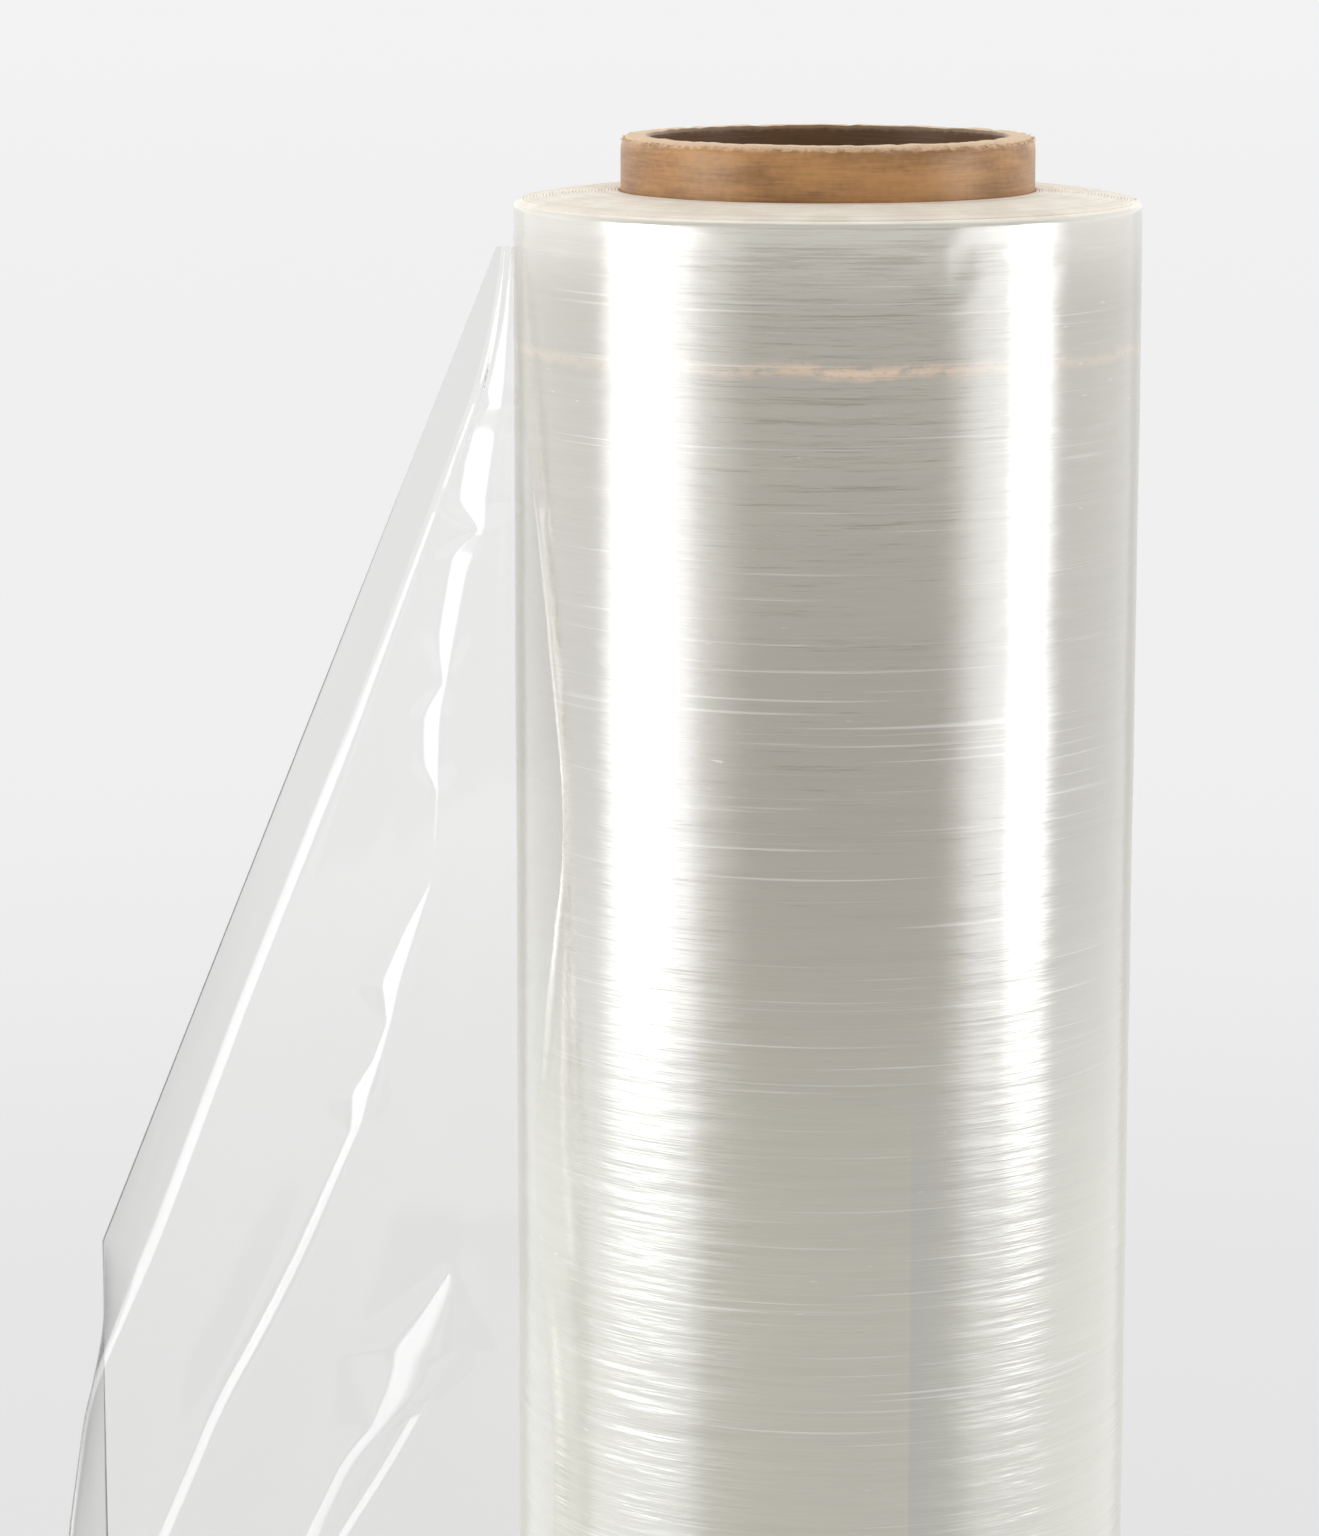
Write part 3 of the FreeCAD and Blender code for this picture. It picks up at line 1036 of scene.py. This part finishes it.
@dataclass
class LooseTail:
    """The film's loose tail: one layer that leaves the roll, falls in folds to a crease and turns back.

    Its lines run over the share of the film's width below the top. The peel angle is in degrees round the
    roll, from -X towards -Y. The crease's reach is a share of the tail's reach, and the crests of the soft
    folds are shares of the way from the roll to the crease.
    """

    roll_radius: float
    top: float
    width: float
    hem_lift: float = 2.0 * MM
    thickness: float = 0.16 * MM
    root_depth: float = 1.6 * MM
    top_drop: float = 11.0 * MM
    top_reach: float = 3.2 * MM
    corner_drop: float = 230.0 * MM
    reach: float = 91.5 * MM
    forward: float = 12.0 * MM
    lean: float = 10.0 * MM
    flap_depth: float = 17.0 * MM
    ripple_depth: float = 0.22 * MM
    ripple_turn: float = 0.97
    ripple_from: float = 0.12
    ripple_full_reach: float = 40 * MM
    flat_width: float = 155.0 * MM
    flat_area: float = 0.0559
    levels: int = 330
    film_points: int = 16
    facet_points: int = 5
    flap_points: int = 14
    narrowest_facet: float = 0.1 * MM
    widest_facet: float = 0.42
    facet_gap: float = 0.004
    last_facet_end: float = 0.93
    facet_blend: float = 0.008
    reach_blend: float = 0.015
    opening: float = 0.5 * MM
    creasing: float = 1.5 * MM
    least_approach: float = 1.2 * MM
    least_settling: float = 1.0 * MM
    fold_stands: tuple[float, ...] = (0.0, -0.7, 0.5, -0.8, 0.7, -0.45, 0.0)
    flap_bow: float = 0.8 * MM
    flap_shade_level: float = 0.5
    edge_shade_level: float = 0.75
    slot: str = "clear_film"
    peel_angle: Line = ((0.0, 2.0), (0.14, 26.0), (0.26, 37.0), (0.41, 20.0), (0.524, 30.0), (1.0, 26.0))
    fold_depth: Line = line_in_mm((0.0, 0.8), (0.3, 1.3), (0.46, 1.8), (0.52, 3.0), (1.0, 3.0))
    crease_reach: Line = ((0.0, 0.01), (0.044, 0.033), (0.078, 0.072), (0.23, 0.383), (0.344, 0.634),
                          (0.452, 0.858), (0.52, 1.022), (0.586, 1.075), (0.68, 1.10))
    inner_crest: Line = ((0.0, 0.25), (0.214, 0.24), (0.482, 0.27), (0.586, 0.46), (0.68, 0.55), (0.80, 0.61))
    outer_crest: Line = ((0.0, 0.55), (0.214, 0.61), (0.288, 0.50), (0.394, 0.52), (0.586, 0.80),
                         (0.68, 0.85))
    split: Fold = Fold(
        ((0.0, 0.20), (0.46, 0.21), (0.50, 0.24), (0.53, 0.307), (0.582, 0.442), (0.68, 0.53), (0.80, 0.58)),
        line_in_mm((0.0, 0.0), (0.514, 0.0), (0.526, 2.4), (1.0, 2.2)))
    inner: Fold = Fold(
        ((0.0, 0.25), (0.214, 0.23), (0.462, 0.238), (0.506, 0.27), (0.53, 0.375), (0.545, 0.43),
         (0.582, 0.50), (0.68, 0.61), (0.80, 0.68)),
        line_in_mm((0.0, 0.0), (0.46, 0.0), (0.47, 3.0), (0.483, 6.5), (0.498, 11.0), (0.508, 9.0),
                   (0.53, 2.8), (1.0, 2.3)),
        0.90)
    outer: Fold = Fold(
        ((0.0, 0.45), (0.135, 0.50), (0.152, 0.60), (0.214, 0.61), (0.288, 0.50), (0.394, 0.52),
         (0.586, 0.80), (0.68, 0.85)),
        line_in_mm((0.0, 2.0), (0.03, 3.0), (0.075, 7.0), (0.088, 3.0), (0.10, 7.0), (0.128, 8.0),
                   (0.14, 1.0), (0.152, 4.5), (0.185, 4.0), (0.205, 0.8), (0.22, 4.0), (0.24, 3.5),
                   (0.25, 0.5), (0.29, 0.4), (0.31, 3.0), (0.335, 5.0), (0.352, 1.0), (0.37, 2.0),
                   (0.385, 5.0), (0.40, 2.4), (0.46, 2.7), (0.60, 2.7), (1.0, 2.2)))
    crease: Fold = Fold(
        ((0.0, 1.0),),
        line_in_mm((0.0, 0.7), (0.3, 1.2), (0.45, 1.3), (0.56, 1.1), (1.0, 1.3)),
        1.0, 1.0)

    def fold_turns(self, down: float) -> tuple[np.ndarray, np.ndarray]:
        """Where the soft folds turn on the way to the crease, and how far each turn stands forward."""
        inner, outer = flowing(self.inner_crest, down), flowing(self.outer_crest, down)
        places = [0.0, inner / 2, inner, (inner + outer) / 2, outer, (outer + 1) / 2, 1.0]
        return np.array(places), np.array(self.fold_stands)

    def corners(self, drop: float) -> tuple[np.ndarray, np.ndarray, np.ndarray, float]:
        """Where the tail leaves the roll, creases and ends at one level.

        Args:
            drop: How far the level is below the film's top edge.

        Returns:
            Plan places of the root, the crease and the outer edge, and the run to the crease as a share of
            the tail's reach.
        """
        down = drop / self.width
        angle = math.radians(flowing(self.peel_angle, down))
        root_radius = self.roll_radius - self.root_depth
        root = np.array([-root_radius * math.cos(angle), -root_radius * math.sin(angle)])
        crease_x = -self.roll_radius - self.reach * flowing(self.crease_reach, down, self.reach_blend)
        size = (root[0] - crease_x) / self.reach
        crease = np.array([crease_x, -self.forward - self.lean * size])
        torn = min((drop - self.top_drop) / (self.corner_drop - self.top_drop), 1.0)
        edge_x = -self.roll_radius - self.top_reach - torn * (self.reach - self.top_reach)
        edge = np.array([edge_x, crease[1] + self.flap_depth * min(size, 1.0)])
        return root, crease, edge, size

    def facets(self, down: float, run: float) -> list[Facet]:
        """The facets at one level, from the roll outwards, in order and just clear of one another.

        Args:
            down: Share of the film's width below its top.
            run: Distance across from the root to the crease.

        Returns:
            The facet of each fold.
        """
        found, last_end = [], 0.0
        for fold in (self.split, self.inner, self.outer, self.crease):
            width = max(min(along(fold.width, down), self.widest_facet * run), self.narrowest_facet)
            ends_run = fold is self.crease
            start = 1 - width / run if ends_run else flowing(fold.place, down, self.facet_blend)
            start = max(start, last_end + self.facet_gap)
            last_end = 1.0 if ends_run else min(start + width / run, self.last_facet_end)
            found.append(Facet(fold, start, last_end, width))
        return found

    def section(self, drop: float) -> tuple[np.ndarray, np.ndarray]:
        """Plan line of the tail at one level.

        Args:
            drop: How far the level is below the film's top edge.

        Returns:
            Plan places from the roll to the outer edge, and how creased the film is at each.
        """
        down = drop / self.width
        root, crease, edge, size = self.corners(drop)
        run = root[0] - crease[0]
        facets = self.facets(down, run)
        stops = [0.0, *(stop for facet in facets for stop in (facet.start, facet.end))]
        counts = (self.film_points, self.facet_points) * len(facets)
        parts = [np.linspace(a, b, n, endpoint=False) for a, b, n in zip(stops, stops[1:], counts)]
        share = np.append(np.concatenate(parts), 1.0)

        places, stands = self.fold_turns(down)
        here = np.clip(np.searchsorted(places, share, side="right") - 1, 0, len(places) - 2)
        step = eased((share - places[here]) / (places[here + 1] - places[here]))
        stand = stands[here] + (stands[here + 1] - stands[here]) * step
        line = root + (crease - root) * share[:, None]
        line[:, 1] -= flowing(self.fold_depth, down) * size * stand

        creased, fallen = np.zeros_like(share), np.zeros_like(share)
        margin = self.narrowest_facet
        for facet in facets:
            distance = (share - facet.start) * run
            ends = np.interp((facet.start, facet.start + facet.width / run), share, line[:, 1] + fallen)
            opened = min((facet.width - margin) / self.opening, 1.0)
            slope = (facet.fold.slope - (ends[1] - ends[0]) / facet.width) * opened
            fallen += slope * facet.fall(distance, self.least_approach, self.least_settling)
            on_facet = (distance > -margin) & (distance < facet.width + margin)
            creased = np.maximum(creased, on_facet * min(facet.width / self.creasing, 1.0))
        line[:, 1] += fallen

        flap = np.linspace(0.0, 1.0, self.flap_points + 1)[1:, None]
        bow = np.sin(np.pi * flap) * np.array([-self.flap_bow, 0.0]) * min(size, 1.0)
        back = line[-1] + (edge - line[-1]) * flap + bow
        return np.concatenate([line, back]), np.concatenate([creased, 0 * flap[:, 0]])

    @staticmethod
    def laid_out(plan: np.ndarray) -> np.ndarray:
        """How far each point lies from the roll along the film, at every level."""
        steps = np.linalg.norm(np.diff(plan, axis=1), axis=-1)
        return np.concatenate([0 * steps[:, :1], np.cumsum(steps, axis=1)], axis=1)

    def sheet_points(self) -> tuple[np.ndarray, np.ndarray]:
        """Middle of the sheet at every level, with its ripples, and how creased it is."""
        drops = np.linspace(self.top_drop, self.width - self.hem_lift, self.levels)
        sections = [self.section(drop) for drop in drops]
        plan = np.stack([line for line, _ in sections])
        creased = np.stack([amount for _, amount in sections])
        heights = np.broadcast_to((self.top - drops)[:, None, None], plan.shape[:2] + (1,))
        points = np.concatenate([plan, heights], axis=-1)
        laid = self.laid_out(plan)
        across = self.ripple_turn * laid / laid[:, -1:]
        down = (drops / self.width)[:, None] + 0 * across
        ripple = wander(across, down, (17, 9), 71) + 0.5 * wander(across, down, (31, 26), 72)
        reach = np.abs(plan[:, :1, 0] - plan[:, -1:, 0])
        room = eased(across / self.ripple_from) * eased(reach / self.ripple_full_reach)
        points[..., 1] += self.ripple_depth * ripple * room * (1 - 0.7 * creased)
        return points, creased

    def build(self, finish: bpy.types.Material) -> list[bpy.types.Object]:
        """Builds the tail as one thin closed sheet, with a UV map laid out at its flat size.

        Args:
            finish: The material of loose film.

        Returns:
            The piece.
        """
        middle, creased = self.sheet_points()
        rows, columns = creased.shape
        flow_down, flow_across = np.gradient(middle, axis=0), np.gradient(middle, axis=1)
        normal = np.cross(flow_across, flow_down)
        normal /= np.linalg.norm(normal, axis=-1, keepdims=True)
        front, back = middle + normal * self.thickness / 2, middle - normal * self.thickness / 2
        loop = np.concatenate([front, back[:, ::-1]], axis=1)
        faces = grid_faces(rows, 2 * columns, False, True)
        near = np.arange(columns - 1)
        far = 2 * columns - 1 - near
        cap = np.stack([near, near + 1, far - 1, far], axis=-1)
        faces = np.concatenate([faces, cap, cap + (rows - 1) * 2 * columns])
        mesh = skin("film_tail", loop, faces)
        mesh.materials.append(finish)
        # Painted shade on the flap and its outer edge, which the material reads
        flap_shading = np.zeros_like(creased)
        flap_shading[:, 1 - self.flap_points:] = self.flap_shade_level
        flap_shading[:, -1] = self.edge_shade_level
        for name, values in (("crease", creased), ("flap_shade", flap_shading)):
            both = np.concatenate([values, values[:, ::-1]], axis=1)
            mesh.attributes.new(name, "FLOAT", "POINT").data.foreach_set("value", both.ravel())
        flat = np.stack([self.laid_out(middle[..., :2]), middle[..., 2]], axis=-1)
        both = np.concatenate([flat, flat[:, ::-1]], axis=1).reshape(-1, 2)
        corners = np.empty(len(mesh.loops), int)
        mesh.loops.foreach_get("vertex_index", corners)
        mesh.uv_layers.new(name="flat").data.foreach_set("uv", both[corners].ravel())
        piece = dressed(stood("film_tail", mesh), self.slot, FILM_NODE)
        return [piece]


@dataclass(frozen=True)
class Softbox:
    """A tall soft light that stands beside the roll and faces its axis.

    Its bearing is in degrees round the roll from the front, towards +X. Its glow fades to nothing at its
    front and back edges, over shares of its width, and at its foot and head, over heights. It shines on the
    pieces in lit alone, and if it pierces them, they cast no shadows in its light.
    """

    name: str
    bearing: float
    width: float
    glow: float
    lit: tuple[str, ...]
    front_fade: float = 0.22
    back_fade: float = 0.22
    foot_fade: float = 0.23
    head_fade: float = 0.02
    distance: float = 0.8
    foot: float = 0.02
    head: float = 0.70
    tint: tuple[float, float, float] = (1.0, 1.0, 1.0)
    pierces: bool = False

    @classmethod
    def wrap(cls, name: str, bearing: float, width: float, glow: float, front_fade: float) -> "Softbox":
        """A cool light close beside the wound film alone, which fades all the way up.

        Args:
            name: The light's name.
            bearing: Its bearing.
            width: Its width.
            glow: Its glow.
            front_fade: Share of its width over which it fades towards the front.

        Returns:
            The light.
        """
        return cls(name, bearing, width, glow, ROLL_PIECES[:1], front_fade, back_fade=0.12, foot_fade=0.02,
                   head_fade=0.40, distance=0.35, foot=0.0, head=0.66, tint=(0.92, 0.99, 1.08))

    def shine(self, light: bpy.types.Light) -> None:
        """Lets the glow fade towards the light's edges.

        Args:
            light: The light.
        """
        light.use_nodes = True
        cloth = Graph(light.node_tree)
        place = cloth.node("ShaderNodeNewGeometry", output="Position")
        _, _, height = cloth.split(place)
        bearing = math.radians(self.bearing)
        width_way = (math.cos(bearing), math.sin(bearing), 0.0)
        across = cloth.vectors("DOT_PRODUCT", place, width_way, output="Value") / self.width + 0.5
        forward = across if self.bearing < 0 else 1 - across
        even = cloth.fade(forward, 0.0, self.back_fade) * cloth.fade(forward, 1.0, 1 - self.front_fade)
        even = even * cloth.fade(height, self.foot, self.foot + self.foot_fade)
        even = even * cloth.fade(height, self.head, self.head - self.head_fade)
        cloth.end("ShaderNodeOutputLight", cloth.node("ShaderNodeEmission", sockets={"Strength": even}))

    def group(self, suffix: str, pieces: list[bpy.types.Object]) -> bpy.types.Collection:
        """Gathers pieces for the light to be linked to."""
        gathered = bpy.data.collections.new(self.name + suffix)
        for piece in pieces:
            gathered.objects.link(piece)
        return gathered

    def build(self, pieces: list[bpy.types.Object]) -> None:
        """Makes the light.

        Args:
            pieces: Every piece of the roll.
        """
        light = bpy.data.lights.new(self.name, "AREA")
        light.shape = "RECTANGLE"
        light.size = self.width
        light.size_y = self.head - self.foot
        light.energy = 4 * self.glow * light.size * light.size_y
        light.color = self.tint
        self.shine(light)
        bearing = math.radians(self.bearing)
        outward = Vector((math.sin(bearing), -math.cos(bearing), 0.0))
        holder = stood(self.name, light)
        holder.location = outward * self.distance + Vector((0, 0, (self.head + self.foot) / 2))
        holder.rotation_euler = (-outward).to_track_quat("-Z", "Y").to_euler()
        holder.visible_camera = False
        shone_on = [piece for piece in pieces if piece.name in self.lit]
        holder.light_linking.receiver_collection = self.group("_shines_on", shone_on)
        if self.pierces:
            others = [piece for piece in pieces if piece.name not in self.lit]
            holder.light_linking.blocker_collection = self.group("_is_shaded_by", others)


@dataclass
class Studio:
    """The floor, the lights and the camera."""

    floor_side: float = 60.0
    camera_place: tuple[float, float, float] = (-0.0358, -1.070, 0.5822)
    camera_pitch: float = 10.34
    focal_pixels: float = 5000.0
    picture_height: float = 1536.0
    sensor: float = 36.0
    front_glow: float = 0.42
    back_glow: float = 1.30
    back_span: Span = (-0.65, 0.55)
    overhead_glow: float = 0.30
    overhead_span: Span = (0.4, 1.0)
    high_glow: float = 0.55
    high_band: Band = (0.42, 0.25)
    high_span: Span = (-0.2, -0.6)
    softboxes: tuple[Softbox, ...] = (
        Softbox("left_softbox", -69.5, 0.66, 2.8, ROLL_PIECES, front_fade=0.42, back_fade=0.42),
        Softbox.wrap("left_wrap", -94.0, 0.90, 0.66, 0.15),
        Softbox.wrap("right_wrap", 94.0, 0.82, 0.47, 0.20),
        Softbox("left_wash", -40.0, 0.40, 0.8, ROLL_PIECES[:1], front_fade=0.9, back_fade=0.05),
        Softbox("right_softbox", 74.5, 0.46, 3.0, ROLL_PIECES, front_fade=0.45, back_fade=0.45),
        Softbox("right_wash", 50.0, 0.36, 0.9, ROLL_PIECES[:1], front_fade=0.7, back_fade=0.05),
        Softbox("tail_softbox", -93.0, 0.44, 1.65, ("film_tail",), front_fade=0.2, back_fade=0.2,
                foot_fade=0.04, foot=0.0, pierces=True))

    def floor(self) -> None:
        """Lays the floor that the roll stands on."""
        half = self.floor_side / 2
        corners = [(-half, -half, 0), (half, -half, 0), (half, half, 0), (-half, half, 0)]
        mesh = bpy.data.meshes.new("floor")
        mesh.from_pydata(corners, [], [(0, 1, 2, 3)])
        mesh.materials.append(StudioFloor().made())
        stood("floor", mesh)

    def room(self) -> None:
        """Gives the room its soft light: dim on the camera's side, bright behind the roll and overhead."""
        world = bpy.data.worlds.new("room")
        world.use_nodes = True
        bpy.context.scene.world = world
        room = Graph(world.node_tree)
        towards = room.node("ShaderNodeTexCoord", output="Generated")
        _, ahead, above = room.split(towards)
        glow = self.front_glow + (self.back_glow - self.front_glow) * room.fade(ahead, *self.back_span)
        glow = glow + self.overhead_glow * room.fade(above, *self.overhead_span)
        high = self.high_glow * room.band(above, *self.high_band)
        glow = glow + high * room.fade(ahead, *self.high_span)
        shine = room.node("ShaderNodeBackground", sockets={"Strength": glow, "Color": (1.0, 1.0, 1.0, 1.0)})
        room.end("ShaderNodeOutputWorld", shine)

    def camera(self) -> None:
        """Sets up the camera, level across and tilted a little down."""
        data = bpy.data.cameras.new("camera")
        data.sensor_width = self.sensor
        data.lens = self.sensor * self.focal_pixels / self.picture_height
        data.clip_end = 200.0
        camera = stood("camera", data)
        camera.location = self.camera_place
        camera.rotation_euler = (math.radians(90 - self.camera_pitch), 0.0, 0.0)
        bpy.context.scene.camera = camera

    def build(self, pieces: list[bpy.types.Object]) -> None:
        """Sets the roll in its light.

        Args:
            pieces: The pieces that the softboxes shine on.
        """
        scene = bpy.context.scene
        scene.view_settings.view_transform = "Standard"
        scene.cycles.transparent_max_bounces = 40
        self.floor()
        self.room()
        self.camera()
        for softbox in self.softboxes:
            softbox.build(pieces)


def bore_radius_of(record: dict) -> float:
    """Radius of the tube's bore, as its mount gives it."""
    bore = next(mount for mount in record["mounts"] if mount["kind"] == "bore")
    return bore["dims"]["r_mm"] * MM


def main() -> None:
    """Builds the roll piece by piece, and then the studio round it."""
    logging.basicConfig(level=logging.INFO, format="%(name)s: %(message)s")
    _, core_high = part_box(CORE_NODE)
    film_low, film_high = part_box(FILM_NODE)
    core = CardboardCore(bore_radius_of(frame["record"]), core_high.x, core_high.z)
    wound = WoundRoll(core_high.x + WRAP_CLEARANCE, film_high.x, film_low.z, film_high.z)
    tail = LooseTail(film_high.x, film_high.z, film_high.z - film_low.z)
    makers: tuple[Callable[[], list[bpy.types.Object]], ...] = (
        core.build, wound.build, lambda: tail.build(LooseFilm().made()))
    pieces = []
    for build in makers:
        for piece in build():
            faces = len(piece.data.polygons)
            log.info("%s has %d corners and %d faces", piece.name, len(piece.data.vertices), faces)
            pieces.append(piece)
    Studio().build(pieces)


if __name__ == "__main__":
    main()
